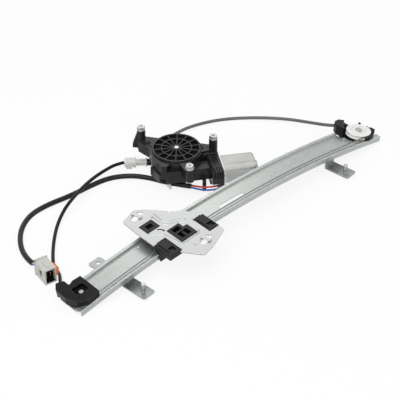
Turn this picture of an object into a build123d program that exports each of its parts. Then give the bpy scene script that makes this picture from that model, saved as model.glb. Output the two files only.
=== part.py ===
from build123d import *
from math import acos, atan2, cos, degrees, pi, radians, sin, tan
import os

# Window regulator: one arched rail, a carrier pulled along it by a cable, and the motor that winds it.
# Millimetres. +X runs up the rail, +Y towards the motor, +Z away from the surface it lies on.

# Place of the rail's crown, so that the frame's origin is the middle of the footprint on the floor
rail_x = 11.2
rail_y = -59.4

# Rail: pressed from sheet and arched
arch_radius = 1464.0
crown_height = 38.5
rail_width = 45.0
sheet = 1.2
wall_depth = 8.0
near_flange = 10.1
far_flange = 5.2
floor_depth = 3.0
bend_radius = 1.0
rail_low_end = -292.0
rail_high_end = 278.3
floor_low_end = -298.0
floor_high_end = 231.0
far_low_end = -261.5
far_high_end = 219.7
slot_centre = -17.5
slot_length = 46.0
slot_width = 8.0
pilot_hole = 3.0

# Brackets and their weld studs
bracket_sheet = 2.0
bracket_width = 21.0
bracket_foot = 3.0
stud_head = 12.0
stud_head_height = 3.0
stud_diameter = 6.0
stud_length = 13.0
stud_collar = 3.3
foot_hole = 6.6
lower_bracket_x = -211.8
lower_bracket_turn = 5.3
lower_bracket_near = -53.5
lower_bracket_far = 50.5
upper_bracket_x = 172.5
upper_bracket_turn = 8.0
upper_bracket_near = -53.5
bracket_web = 14.0
stud_reach = 42.0

# Lift cable
cable = 1.5
cable_y = -16.5
cable_height = 2.6
cable_gap = 0.3

# Lower guide and upper pulley
guide_station = -230.0
guide_centre = -48.0
guide_radius = 17.0
guide_top = 8.5
guide_slit = 3.0
fit = 0.05
entry_turn = 73.0
entry_run = 27.5
pulley_station = 181.0
pulley_centre = 70.0
pulley_groove = 29.4
pulley_diameter = 37.4
pulley_width = 6.4
pin_diameter = 6.0
tower_entry = (59.9, 35.2)
tower_heading = 118.0
tower_depth = 9.0
tower_pitch = 16.0
entry_heading = 55.0
entry_pitch = 17.0
running = 0.08
rivet = 4.0

# Carrier
carrier_station = -122.0
plate_top = 12.0
plate_sheet = 2.0
slide_gap = 0.3
shoe_top = 13.0
nipple = 4.4
nipple_length = 9.0
lower_window = -23.6
upper_window = 26.4

# Motor unit: its frame has the drum's axis as origin and the armature along +X
motor_x = -1.3
motor_y = 124.8
motor_turn = -31.0
disc_radius = 35.0
disc_top = 48.0
disc_floor = 43.0
rim_wall = 2.0
inner_ring = 21.0
spokes = 14
spoke_wall = 1.2
housing_radius = 37.0
housing_wall = 2.2
housing_base = 15.5
housing_shoulder = 45.0
arm_bottom = 29.0
arm_top = 46.0
boss_top = 61.0
boss_radius = 6.2
front_boss_top = 50.0
shaft_radius = 3.0
hub_radius = 5.2
ring_boss = 3.3
ring_bosses = [(-36.8, 23.8), (35.1, -3.8)]
bosses = [(-45.2, 35.7, boss_top), (52.1, -7.5, boss_top), (8.0, -57.6, front_boss_top)]
insert_radius = 4.4
insert_length = 13.0
screw = 3.0

# Worm gear
gear_module = 0.9
wheel_teeth = 62
worm_pitch = 4.5
gear_height = 23.0
wheel_width = 10.0
worm_length = 24.0
worm_phase = 184.0

# Cable drum and its housing
drum_line = 20.25
drum_base = 3.0
drum_top = 14.5
low_line = 8.4
high_line = 11.6
drum_wall = 2.2
upper_exit = 50.0
lower_exit = 139.6
upper_socket = 38.0
lower_socket = 43.5

# Armature and can
armature_shaft = 2.5
core_radius = 12.0
core_start = 66.0
core_length = 30.0
can_width = 36.0
can_height = 34.0
can_corner = 11.0
can_start = 58.6
can_length = 49.0
can_wall = 1.6
end_plate = 1.6
end_plate_width = 56.0
brush_box_start = 40.0
louvres = 4
louvre_pitch = 3.2
plate_screws = [(-59.0, 25.0), (-11.0, 25.0)]
bearing_radius = 5.0
commutator_start = 46.0
commutator_radius = 7.5

# Adjuster, conduits and wiring
conduit = 5.0
ferrule = 8.0
adjuster_body = 7.5
adjuster_collar = 9.0
adjuster_length = 32.5
sleeve = 7.5
wire = 2.2
plug_start = 50.0

gear_axis = -(gear_module * wheel_teeth / 2 + worm_pitch)
arch_centre = crown_height - arch_radius
pulley_line = (pulley_groove + cable) / 2 + cable_gap
adjuster_end = lower_socket + adjuster_length


def block(x, y, z):
    """Box between two values on each axis."""
    return Pos(sum(x) / 2, sum(y) / 2, sum(z) / 2) * Box(x[1] - x[0], y[1] - y[0], z[1] - z[0])


def round_bar(radius, low, high, x=0, y=0):
    """Upright cylinder from one height to another."""
    return Pos(x, y, (low + high) / 2) * Cylinder(radius, high - low)


def bar_along(radius, start, end, y=0, z=0):
    """Cylinder along X."""
    return Pos((start + end) / 2, y, z) * Rot(0, 90, 0) * Cylinder(radius, end - start)


def prism(points, low, high, corner=0):
    """Upright solid on an outline, with rounded corners."""
    face = make_face(Polyline(*points, close=True))
    if corner:
        face = fillet(face.vertices(), corner)
    return Pos(0, 0, low) * extrude(face, high - low)


def on_rail(station):
    """Place on the near flange's top, at a distance from the crown along the arch."""
    turn = degrees(station / arch_radius)
    return Pos(0, 0, arch_centre) * Rot(0, turn, 0) * Pos(0, 0, arch_radius)


def arched(profile, start, end):
    """Profile of width and height above the flange, swept along the arch between two stations."""
    turn = degrees((end - start) / arch_radius)
    axis = Axis((0, 0, arch_centre), (0, 1, 0))
    return revolve(on_rail(start) * (Plane.YZ * profile), axis, turn)


def strand(points, radii, diameter):
    """Round bar along straight runs joined by tangent arcs."""
    path = FilletPolyline(*points, radius=radii)
    return sweep(Plane(path @ 0, z_dir=path % 0) * Circle(diameter / 2), path=path)


def cord(name, points, diameter):
    """Free cord: each corner's arc is as large as its two runs allow."""
    radii = []
    for before, at, after in zip(points, points[1:], points[2:]):
        come = Vector(*at) - Vector(*before)
        go = Vector(*after) - Vector(*at)
        half_turn = radians(come.get_angle(go)) / 2
        radii.append(0.45 * min(come.length, go.length) / tan(half_turn))
    tube = strand(points, radii, diameter)
    length = FilletPolyline(*points, radius=radii).length
    fill = tube.volume / (pi * diameter ** 2 / 4 * length)
    print(name, "length", round(length, 1), "tightest", round(min(radii), 1), "fill", round(fill, 4))
    return tube


# Rail

def rail_profile():
    """Channel section: a wide near flange that carries the sliders, a sunk floor, a narrow far flange."""
    near = -rail_width / 2
    far = rail_width / 2
    step = near + near_flange
    lip = far - far_flange
    top = [(near, -wall_depth), (near, 0), (step, 0), (step, -floor_depth),
           (lip, -floor_depth), (lip, 0), (far, 0), (far, -wall_depth)]
    under = [(far - sheet, -wall_depth), (far - sheet, -sheet), (lip + sheet, -sheet),
             (lip + sheet, -floor_depth - sheet), (step - sheet, -floor_depth - sheet),
             (step - sheet, -sheet), (near + sheet, -sheet), (near + sheet, -wall_depth)]
    face = make_face(Polyline(*top, *under, close=True))
    corners = face.vertices().filter_by(lambda v: abs(v.X) > far - 0.1 and v.Y > -0.1)
    return fillet(corners, bend_radius)


def guide_rail():
    """Arched channel with trimmed ends, the long slot and two pilot holes in its floor."""
    far = rail_width / 2 + 1
    near = -far
    step = -rail_width / 2 + near_flange
    channel = arched(rail_profile(), floor_low_end - 1, rail_high_end)
    tongue = step - bend_radius
    outline = [(rail_high_end, near), (rail_high_end, tongue), (floor_high_end + 3, tongue),
               (floor_high_end, step + 4), (far_high_end, far), (far_low_end, far),
               (floor_low_end, 12), (floor_low_end, -17), (rail_low_end, near)]
    reach = crown_height + 10
    channel &= prism(outline, -reach, reach, 2)
    slot_y = step + 0.6 + slot_width / 2
    slot = Pos(slot_centre, slot_y, crown_height) * extrude(
        SlotOverall(slot_length, slot_width), 30, both=True)
    pilots = [(-170.7, 11.7), (139.2, 9.5)]
    holes = [round_bar(pilot_hole / 2, 0, reach, x, y) for x, y in pilots]
    return channel - slot - holes - guide_rivets()


def under_floor(start, end, near, far, thickness):
    """Strip that follows the underside of the rail's floor."""
    top = -floor_depth - sheet
    face = Pos((near + far) / 2, top - thickness / 2) * Rectangle(far - near, thickness)
    return arched(face, start, end)


def bracket_foot_plate(near, far, stud_y, hole):
    """Flat foot with rounded corners and the stud's hole, along Y at the origin."""
    half = bracket_width / 2
    foot = prism([(-half, near), (half, near), (half, far), (-half, far)],
                 bracket_foot, bracket_foot + bracket_sheet, 3)
    return foot - round_bar(hole, 0, 20, 0, stud_y)


def web_plate(y, height):
    """Upright web of a bracket."""
    half = bracket_width / 2
    return block((-half, half), (y - bracket_sheet / 2, y + bracket_sheet / 2), (bracket_foot, height))


def above_floor(x):
    """Everything above the underside of the bracket's strip, for trimming its webs."""
    top = -floor_depth - sheet
    face = Pos(0, top + 30) * Rectangle(200, 60 + 0.01)
    return arched(face, x - 60, x + 60)


def lower_bracket():
    """Strip under the rail: a raised middle welded to the floor, two webs and two feet."""
    place = Pos(lower_bracket_x, 0, 0) * Rot(0, 0, lower_bracket_turn)
    strips = bracket_foot_plate(lower_bracket_near, -bracket_web + 1, -stud_reach, stud_collar)
    strips += bracket_foot_plate(bracket_web - 1, lower_bracket_far, stud_reach, foot_hole / 2)
    strips += web_plate(-bracket_web, 30)
    strips += web_plate(bracket_web, 30)
    strips = place * strips - above_floor(lower_bracket_x)
    half = bracket_width / 2
    return strips + under_floor(lower_bracket_x - half, lower_bracket_x + half,
                                -bracket_web - 1.5, bracket_web + 1.5, bracket_sheet)


def upper_bracket():
    """Angle strip: welded under the floor, one web and one foot on the near side."""
    place = Pos(upper_bracket_x, 0, 0) * Rot(0, 0, upper_bracket_turn)
    strips = bracket_foot_plate(upper_bracket_near, -bracket_web + 1, -stud_reach, stud_collar)
    strips += web_plate(-bracket_web, 34)
    strips = place * strips - above_floor(upper_bracket_x)
    half = bracket_width / 2
    return strips + under_floor(upper_bracket_x - half, upper_bracket_x + half,
                                -bracket_web - 1.5, bracket_web - 2, bracket_sheet)


def bracket_studs():
    """Weld studs: a flat head under the foot and a threaded shank through it."""
    head = round_bar(stud_head / 2, bracket_foot - stud_head_height, bracket_foot)
    top = bracket_foot + bracket_sheet + stud_length
    stud = head + round_bar(stud_collar, bracket_foot, bracket_foot + bracket_sheet)
    stud += round_bar(stud_diameter / 2, bracket_foot, top)
    stud = chamfer(stud.edges().sort_by(Axis.Z)[-1], 0.8)
    lower = Pos(lower_bracket_x, 0, 0) * Rot(0, 0, lower_bracket_turn)
    upper = Pos(upper_bracket_x, 0, 0) * Rot(0, 0, upper_bracket_turn)
    places = [lower * Pos(0, -stud_reach, 0), upper * Pos(0, -stud_reach, 0)]
    return [place * stud for place in places]


# Cable route on the rail

def flat_cable(path):
    """Cable drawn along a path that lies in one plane."""
    start = Plane(path @ 0, z_dir=path % 0)
    return sweep(start * Circle(cable / 2), path=path)


def guide_arc():
    """Cable's turn round the lower guide, in the guide's own frame."""
    return CenterArc((guide_centre, cable_y + guide_radius), guide_radius, 270, -(180 - entry_turn))


def tower_mouth():
    """Where the upper conduit ends inside the tower, in the pulley's frame."""
    turn = radians(tower_heading)
    return (tower_entry[0] - tower_depth * cos(turn), tower_entry[1] - tower_depth * sin(turn))


def pulley_arc():
    """Cable's turn round the pulley, up to where it leaves for the tower."""
    centre = (pulley_centre, cable_y + pulley_line)
    mouth = tower_mouth()
    away = Vector(mouth[0] - centre[0], mouth[1] - centre[1])
    leave = degrees(atan2(away.Y, away.X) - acos(pulley_line / away.length))
    return CenterArc(centre, pulley_line, 270, 90 + leave)


def guide_path():
    """Cable from the rail to the lower conduit's end."""
    arc = guide_arc()
    end = arc @ 1 + (arc % 1) * entry_run
    return Wire([Line((0, cable_y), (guide_centre, cable_y)), arc, Line(arc @ 1, end)])


def pulley_path():
    """Cable from the rail to the upper conduit's end."""
    arc = pulley_arc()
    return Wire([Line((0, cable_y), (pulley_centre, cable_y)), arc, Line(arc @ 1, tower_mouth())])


def rail_cable():
    """Strand from the lower conduit's end, round the guide, up the rail and over the pulley."""
    span = arched(Pos(cable_y, cable_height) * Circle(cable / 2), guide_station, pulley_station)
    low = on_rail(guide_station) * Pos(0, 0, cable_height) * flat_cable(guide_path())
    high = on_rail(pulley_station) * Pos(0, 0, cable_height) * flat_cable(pulley_path())
    return span + low + high


def rail_clearance(start, end, depth):
    """Room that the rail's section takes, for trimming what is moulded round it."""
    near = -rail_width / 2
    far = rail_width / 2
    step = near + near_flange
    lip = far - far_flange
    face = make_face(Polyline((near, -depth), (near, 0), (step, 0), (step, -floor_depth),
                              (lip, -floor_depth), (lip, 0), (far, 0), (far, -depth), close=True))
    return arched(face, start, end)


def aim(heading, pitch):
    """Unit vector with a heading in plan and a downward pitch."""
    flat = cos(radians(pitch))
    return Vector(flat * cos(radians(heading)), flat * sin(radians(heading)), -sin(radians(pitch)))


def lower_seat():
    """Lower conduit's end in the guide, and the way it comes out."""
    end = guide_path() @ 1
    return (on_rail(guide_station) * Pos(end.X, end.Y, cable_height)).position, aim(entry_heading, entry_pitch)


def upper_seat():
    """Upper conduit's end in the tower, and the way it comes out."""
    end = (on_rail(pulley_station) * Pos(*tower_mouth(), cable_height)).position
    return end, aim(tower_heading, tower_pitch)


def seat_bore(end, along):
    """Room for a conduit's end and the cable's last bend before it."""
    bore = Plane(end, z_dir=along) * Cylinder(conduit / 2 + fit, 30, align=(Align.CENTER, Align.CENTER, Align.MIN))
    return bore + Pos(*end) * Sphere(guide_slit / 2)


def lower_cable_guide():
    """Moulded guide on the rail's end: a quarter drum for the cable and the conduit's seat."""
    x = guide_centre
    y = cable_y + guide_radius
    body = prism([(x + 16, cable_y - 3), (x + 16, y + 19), (x + 3, y + 20), (x - 4, y + 17),
                  (x - 4, y + 28), (x - 14, y + 33), (x - 21, y + 24), (x - 21.5, y + 4),
                  (x - 16, y - 14), (x - 4, cable_y - 4.5)], -floor_depth - 2, guide_top, 1.5)
    pocket = prism([(x - 9, y - 7), (x + 10, y - 7), (x + 10, y + 8), (x - 7, y + 10)],
                   cable_height - 1, guide_top + 1, 2)
    path = guide_path()
    start = Plane(path @ 0, z_dir=path % 0)
    slit = Pos(0, 0, cable_height) * sweep(start * Rectangle(guide_slit, guide_slit), path=path)
    solid = on_rail(guide_station) * (body - pocket - slit) - seat_bore(*lower_seat())
    solid -= guide_rivets()
    return solid - rail_clearance(floor_low_end - 20, -230, 30) - guide_rail()


def pulley():
    """Grooved wheel with a sunk web on both faces."""
    half = pulley_width / 2
    rim = pulley_diameter / 2
    groove = pulley_groove / 2
    bore = pin_diameter / 2 + running
    outline = [(bore, -half), (6.5, -half), (6.5, -1.5), (groove - 3, -1.5), (groove - 3, -half),
               (rim, -half), (rim, -half + 0.8), (groove + 0.3, -1.1), (groove, -0.5),
               (groove, 0.5), (groove + 0.3, 1.1), (rim, half - 0.8), (rim, half), (groove - 3, half),
               (groove - 3, 1.5), (6.5, 1.5), (6.5, half), (bore, half)]
    wheel = revolve(Plane.XZ * make_face(Polyline(*outline, close=True)), Axis.Z)
    return on_rail(pulley_station) * Pos(pulley_centre, cable_y + pulley_line, cable_height) * wheel


def pulley_pin():
    """Shouldered pin riveted in the bracket, with a wide head over the pulley."""
    half = pulley_width / 2
    pin = round_bar(pin_diameter / 2, -11, half + 0.3) + round_bar(5, half + 0.3, half + 1.6)
    return on_rail(pulley_station) * Pos(pulley_centre, cable_y + pulley_line, cable_height) * pin


def tower():
    """Upright holder for the upper conduit beside the pulley."""
    outline = [(52, 9), (58, 19.5), (66, 18.8), (72.5, 20), (72.5, 29), (66, 36.5), (57, 36.5), (52, 28)]
    return prism(outline, -8.5, 8, 1.5) - block((66, 80), (15, 30), (3.5, 9))


def pulley_bracket():
    """Moulded base under the pulley, its tongue under the floor, the tower and the near arm."""
    y = cable_y + pulley_line
    floor = cable_height - pulley_width / 2 - 0.5
    base = prism([(53, -12), (88, -12), (92, -2), (88, 12), (76, 19), (53, 16)], -8.5, floor, 2)
    tongue = prism([(36, -9), (56, -9), (56, 15), (36, 15)], -10, -4, 2)
    outer = pulley_diameter / 2 + 3.6
    guard = round_bar(outer, floor - 1, 4.5, pulley_centre, y)
    guard -= round_bar(pulley_diameter / 2 + 0.9, floor - 2, 10, pulley_centre, y)
    guard &= prism([(70, y), (62, -26), (76, -32), (100, -30), (100, 4)], -10, 10)
    rim = round_bar(outer - 1, 1, 10, pulley_centre, y) - round_bar(outer - 2.4, 0, 11, pulley_centre, y)
    guard -= rim & prism([(70, y), (74, -32), (100, -30), (100, -8)], -10, 10)
    guard += block((89.6, 93.5), (-13, -5), (-3, 5.5)) + block((68, 74), (-24.6, -20.9), (1.2, 5.5))
    peg = round_bar(2, -8.5, 6.5, 86.8, 12.3)
    hook = block((75, 81), (-20.5, -8), (-10.5, -2.2))
    path = pulley_path()
    slit = sweep(Plane(path @ 0, z_dir=path % 0) * Circle(guide_slit / 2), path=path)
    slit = Pos(0, 0, cable_height) * slit
    solid = on_rail(pulley_station) * (base + tongue + guard + tower() + peg + hook - slit)
    near = -rail_width / 2
    flange = Pos(near + near_flange / 2, -0.7) * Rectangle(near_flange + 0.6, 2)
    wall = Pos(near + sheet / 2, -5) * Rectangle(sheet + 1, 10)
    solid -= arched(flange, pulley_station, rail_high_end + 2) + arched(wall, pulley_station, rail_high_end + 2)
    under = Pos(2, -floor_depth - sheet + 10) * Rectangle(30, 20)
    solid -= arched(under, pulley_station + 20, floor_high_end + 1.5)
    hole = Pos(pulley_centre, y, 0) * Cylinder(pin_diameter / 2, 30)
    solid -= on_rail(pulley_station) * hole
    return solid - seat_bore(*upper_seat()) - guide_rivets() - guide_rail()


def rivet_body(top, low):
    """Rivet with a head at both ends of its shank."""
    return (round_bar(rivet * 0.8, top, top + 1.2) + round_bar(rivet / 2, low, top)
            + round_bar(rivet * 0.8, low - 1.2, low))


def guide_rivets():
    """Rivets that hold the guide and the pulley bracket to the rail's floor."""
    low = on_rail(guide_station) * Pos(-46, 2, 0) * rivet_body(cable_height - 1, -floor_depth - sheet - 0.85)
    high = on_rail(pulley_station) * Pos(43.5, 3, 0) * rivet_body(-floor_depth - 0.55, -10)
    return [low, high]


# Carrier

def carrier_plate():
    """Embossed plate with a window for each slider, two slots with raised loops and lifted edges."""
    low = plate_top - plate_sheet
    outline = [(-42, 50), (-16, 58), (-4, 47), (20, 16), (28, 10), (43, -12), (42, -59), (10, -72),
               (-9, -76), (-26, -51), (-44, -14), (-44, 13)]
    plate = prism(outline, low, plate_top, 4)
    windows = [((-33.9, -12.1), (7.8, 26.2)), ((-12.8, 8), (-17, -6.3)), ((-12.8, 14.5), (-37, -16)),
               ((-60, lower_window), (-49, -15.6)), ((upper_window, 60), (-48, -15.6))]
    for x, y in windows:
        plate -= block(x, y, (low - 1, plate_top + 1))
    plate -= Pos(0, 0, low - 1) * extrude(SlotArc(ThreePointArc((-19, 4.2), (-15.4, 1.2), (-15, -3.4)), 2.6), 4)
    plate -= block((14, 17), (19, 24), (low - 1, plate_top + 1))
    for x, y, turn in [(-21, 45, 15), (12, -56, 15)]:
        place = Pos(x, y, low - 1) * Rot(0, 0, turn)
        plate -= place * extrude(SlotOverall(22, 9), plate_sheet + 2)
        loop = Box(4.5, 15, 1.4) + Pos(0, 6.5, -1) * Box(4.5, 2, 2) + Pos(0, -6.5, -1) * Box(4.5, 2, 2)
        plate += place * Pos(0, 0, plate_sheet + 2.6) * loop
    for x, y in [(-8, 28), (-25, -14), (-4, -53), (20, -6)]:
        plate -= Pos(x, y, plate_top) * Sphere(1.4)
    lip = (plate_top - 1, plate_top + 1.6)
    plate += block((lower_window, lower_window + 1.6), (-47, -12.6), lip)
    plate += block((-38, lower_window), (-15.6, -14), lip)
    plate += block((upper_window, 39), (-15.6, -14), lip)
    plate += ridge([(-33, 6), (-31, 1.5), (-19.5, -8), (-16, -24), (-14.5, -40), (-10, -41), (15, -40), (18, -35)])
    plate += ridge([(-7, 31), (-8, 12), (-3, 2), (12, -4), (20, -12)])
    plate += ridge([(-2, 32), (-3, 14), (2, 6), (16, 0)])
    return on_rail(carrier_station) * plate


def ridge(points):
    """Pressed ridge on the plate's top."""
    bead = Sphere(0.8)
    ridges = []
    for start, end in zip(points, points[1:]):
        way = Vector(*end) - Vector(*start)
        heading = degrees(atan2(way.Y, way.X))
        place = Pos(start[0], start[1], plate_top - 0.3) * Rot(0, 0, heading)
        ridges.append(place * (bar_along(0.8, 0, way.length) + bead + Pos(way.length, 0, 0) * bead))
    return ridges


def far_slider():
    """Clip-in slider that straddles the far flange."""
    lip = rail_width / 2 - far_flange
    body = block((-33.7, -12.3), (lip - 3, 26), (slide_gap, plate_top + 0.6))
    body += block((-33.7, -12.3), (8, 26), (4, plate_top + 0.6))
    body += block((-33.7, -12.3), (lip - 3, lip - slide_gap), (slide_gap - floor_depth, 2))
    body += block((-33.7, -12.3), (rail_width / 2 + slide_gap, 26), (-5, 2))
    body -= block((-28, -18), (13, 21), (plate_top - 4, plate_top + 2))
    return on_rail(carrier_station) * (body - slide_room())


def slide_room():
    """Room over the near and far flanges, so that a straight shoe follows the arched rail."""
    near = Pos(-rail_width / 2 + near_flange / 2, -5 + slide_gap) * Rectangle(near_flange + 2, 10)
    far = Pos(rail_width / 2 - far_flange / 2, -5 + slide_gap) * Rectangle(far_flange + 0.6, 10)
    turn = on_rail(carrier_station).inverse()
    return turn * (arched(near, carrier_station - 60, carrier_station + 60)
                   + arched(far, carrier_station - 60, carrier_station + 60))


def near_shoe(start, end, window):
    """Slider that hooks round the near flange, with the cable's channel and a head in the plate's window."""
    wall = -rail_width / 2
    low = plate_top - plate_sheet
    body = block((start, end), (-47, -17.9), (slide_gap, low))
    body -= block((start - 1, end + 1), (-50, wall - 4), (-1, 4.5))
    body += block((start, end), (-17.9, -13.5), (6, low))
    body += block((start, end), (wall - 4, wall - slide_gap), (-9.8, 2))
    body += block((start, end), (wall - 4, wall + sheet + 0.6), (-9.8, -wall_depth - slide_gap))
    head = block(window, (-47.5, -16), (low - 1, shoe_top))
    head = chamfer(head.edges().group_by(Axis.Z)[-1], 0.8)
    middle = sum(window) / 2
    head -= block((middle - 2.5, middle + 6), (-43, -34), (shoe_top - 2.5, shoe_top + 1))
    head -= block((middle - 7, middle - 5), (-42, -20), (shoe_top - 1.2, shoe_top + 1))
    return on_rail(carrier_station) * (body + head - slide_room())


def near_slider_lower():
    """Shoe in the plate's lower notch."""
    return near_shoe(-43, lower_window + 2, (-43, lower_window - 0.3))


def near_slider_upper():
    """Shoe in the plate's upper notch."""
    return near_shoe(upper_window - 2, 43, (upper_window + 0.3, 43))


def cable_block():
    """Moulded block in the middle window that holds the cable's nipples."""
    body = block((-12.6, 7.8), (-17, -6.5), (4, shoe_top)) + block((-12.6, 14.3), (-36.8, -16.2), (4, shoe_top))
    body += block((-12.6, 10.8), (-22, -12), (slide_gap + 0.3, 5))
    body -= Pos(-1, 0, 0) * bar_along(nipple / 2 + fit, -nipple_length / 2, nipple_length / 2,
                                      cable_y, cable_height)
    body -= block((-8.5, 3.5), (cable_y - 1.6, -10), (cable_height, shoe_top + 1))
    body -= bar_along(cable / 2 + cable_gap, -20, 20, cable_y, cable_height)
    body -= block((-8, 8.5), (-32.5, -21), (7, shoe_top + 1))
    body += block((-1, 2.5), (-33, -20), (7, shoe_top - 1))
    return on_rail(carrier_station) * (body - slide_room())


def cable_nipples():
    """Cast nipple that the carrier is pulled by, on the cable."""
    body = bar_along(nipple / 2, -nipple_length / 2, nipple_length / 2, cable_y, cable_height)
    body -= bar_along(cable / 2 + cable_gap, -10, 10, cable_y, cable_height)
    return on_rail(carrier_station) * Pos(-1, 0, 0) * body


# Motor unit, built round the drum's axis

def motor(shape):
    """Set down in the motor's place, armature along its own +X."""
    return Pos(motor_x, motor_y, 0) * Rot(0, 0, motor_turn) * shape


def arm(x, y, root, half):
    """Tapered arm from the housing to a boss."""
    reach = Vector(x, y)
    along = reach.normalized()
    side = Vector(-along.Y, along.X) * half
    tip = Vector(-along.Y, along.X) * (boss_radius - 0.3)
    foot = along * root
    points = [foot + side, reach + tip, reach - tip, foot - side]
    return prism([(p.X, p.Y) for p in points], arm_bottom, arm_top)


def housing_skirt():
    """Flared wall on the near left side and the post under the tallest boss."""
    wall = prism([(-52, 30), (-38.5, 10), (-38, -14), (-29, -38), (-22, -40), (-10, -30), (-20, 30)],
                 arm_bottom - 1, housing_shoulder, 1)
    x, y, top = bosses[0]
    gusset = make_face(Polyline((0, 32), (12.5, 32), (12.5, 38), (5.4, top - 3), (0, top - 3), close=True))
    gusset = Pos(x, y, 0) * Rot(0, 0, 165) * extrude(Plane.XZ * gusset, 4.4, both=True)
    rib = prism([(-37, -12), (-41, -14), (-32, -38), (-29, -38)], housing_base, arm_bottom, 0.8)
    return wall + gusset + rib


def housing_corner():
    """Stepped block under the far boss beside the brush box, with a pocket on top."""
    top = arm_bottom + 12.5
    corner = block((36, brush_box_start + 16.7), (-16.2, 1), (arm_bottom, top))
    corner = chamfer(corner.edges().group_by(Axis.Z)[-1], 1)
    pocket = block((40, 48), (-13, -4), (top - 3, top + 1))
    ribs = [block((38, 44), (y, y + 1.2), (35, top + 1.4)) for y in (-15, -12)]
    return corner - pocket + ribs


def housing_tab():
    """Tab that hangs from the tunnel in front of the drum housing."""
    near = gear_axis - 9
    return block((28.5, 33.5), (near - 8, near + 1), (16, 20)) + block((28.5, 33.5), (near - 8, near - 4), (1, 20))


def gear_housing():
    """Gear housing with the ribbed disc on top, the worm's tunnel and three fixing bosses."""
    body = round_bar(housing_radius, housing_base, housing_shoulder)
    body += round_bar(disc_radius, housing_shoulder, disc_top)
    body += block((-22, brush_box_start), (gear_axis - 9, gear_axis + 9), (housing_base, 35))
    body += housing_skirt() + housing_corner() + housing_tab()
    for x, y, top in bosses:
        body += arm(x, y, 20, 15 if y > -50 else 10)
        body += round_bar(boss_radius, arm_bottom, top, x, y)
    body -= round_bar(disc_radius - rim_wall, disc_floor, disc_top + 1)
    ring = round_bar(inner_ring + spoke_wall, disc_floor - 0.5, disc_top) - round_bar(
        inner_ring, disc_floor - 0.5, disc_top)
    hub = round_bar(hub_radius, disc_floor - 0.5, disc_top)
    for place in PolarLocations(0, spokes):
        reach = (hub_radius - 0.5, disc_radius - 1)
        ring += place * block(reach, (-spoke_wall / 2, spoke_wall / 2), (disc_floor - 0.5, disc_top))
    body += ring + hub
    tip = gear_module * (wheel_teeth / 2 + 1) + 0.7
    body -= round_bar(tip, housing_base - 1, disc_floor - 7)
    body -= bar_along(worm_pitch + gear_module + 0.7, -18, brush_box_start + 1, gear_axis, gear_height)
    body -= round_bar(shaft_radius, 10, disc_top + 1)
    for x, y in ring_bosses:
        body += round_bar(ring_boss, arm_top - 1, arm_top + 1.6, x, y)
        body -= round_bar(ring_boss / 2, arm_top - 4, arm_top + 2, x, y)
    for x, y, top in bosses:
        body -= round_bar(insert_radius, top - insert_length, top + 1, x, y)
        body -= round_bar(stud_diameter / 2 + 0.3, arm_bottom - 1, top, x, y)
    for x, y in cover_screws():
        body -= round_bar(screw / 2, housing_base - 1, housing_base + 8, x, y)
    return motor(body)


def cover_screws():
    """Three screws round the drum housing's flange."""
    reach = housing_radius - 3.6
    return [(reach * cos(radians(a)), reach * sin(radians(a))) for a in (20, 155, 215)]


def threaded_inserts():
    """Steel nuts moulded in the bosses."""
    nuts = []
    for x, y, top in bosses:
        nut = round_bar(insert_radius, top - insert_length, top, x, y)
        nuts.append(motor(nut - round_bar(stud_diameter / 2 + fit, 0, 70, x, y)))
    return nuts


def mounting_bolts():
    """Flange bolts with a cross recess, screwed into the bosses."""
    bolts = []
    for x, y, top in bosses:
        head = Pos(0, 0, 1.5) * extrude(RegularPolygon(5.7, 6), 4.2)
        bolt = round_bar(6.2, 0, 1.5) + head + round_bar(stud_diameter / 2, -14, 0)
        bolt -= Pos(0, 0, 5.2) * (Box(5, 1.2, 2.4) + Box(1.2, 5, 2.4))
        bolts.append(motor(Pos(x, y, top) * bolt))
    return bolts


def output_shaft():
    """Fixed pin pressed in the housing, on which drum and wheel turn."""
    return motor(round_bar(shaft_radius, drum_wall, disc_top + 0.4))


def worm_wheel():
    """Moulded wheel with a pocket underneath for the damper."""
    root = gear_module * (wheel_teeth / 2 - 1.25)
    tip = gear_module * (wheel_teeth / 2 + 0.95)
    low = gear_height - wheel_width / 2
    high = gear_height + wheel_width / 2
    wheel = round_bar(root, low, high)
    pitch = pi * gear_module
    wide = pitch / 2 + 0.25
    tooth = prism([(root - 0.5, -wide / 2), (tip, -0.42), (tip, 0.42), (root - 0.5, wide / 2)], low, high)
    teeth = [Rot(0, 0, 360 * n / wheel_teeth - 90) * tooth for n in range(wheel_teeth)]
    wheel += teeth
    wheel -= round_bar(23.4, low - 1, high - 3) - round_bar(9.4, low - 1, high)
    wheel += round_bar(9.4, high - 1, high + 2)
    return motor(wheel - round_bar(shaft_radius + running, 0, 60))


def damper():
    """Rubber ring between the drum's dogs and the wheel."""
    low = gear_height - wheel_width / 2
    ring = round_bar(23.3, low + 0.2, low + wheel_width - 3) - round_bar(9.5, low, 40)
    for turn in (0, 120, 240):
        ring -= Rot(0, 0, turn) * block((9, 19.2), (-3.2, 3.2), (low, low + 5.2))
    return motor(ring)


def cable_drum():
    """Drum with one broad groove for the cable and three dogs that reach into the damper."""
    groove = drum_line - cable / 2
    body = round_bar(21.9, drum_base, drum_base + 1.2) + round_bar(groove, drum_base, drum_top)
    body += round_bar(21.9, drum_top - 1.2, drum_top)
    body -= round_bar(15, drum_base - 1, drum_top - 4) - round_bar(7, drum_base - 1, drum_top)
    low = gear_height - wheel_width / 2
    for turn in (0, 120, 240):
        body += Rot(0, 0, turn) * block((11, 19), (-3, 3), (drum_top - 1, low + 5))
    body += round_bar(7, drum_base, low - 0.3)
    return motor(body - round_bar(shaft_radius + running, 0, 60))


def cable_winding():
    """Turns of cable lying in the drum's groove."""
    inner = drum_line - cable / 2
    return motor(round_bar(inner + cable, drum_base + 1.2, drum_top - 1.2)
                 - round_bar(inner, 0, 40))


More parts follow.
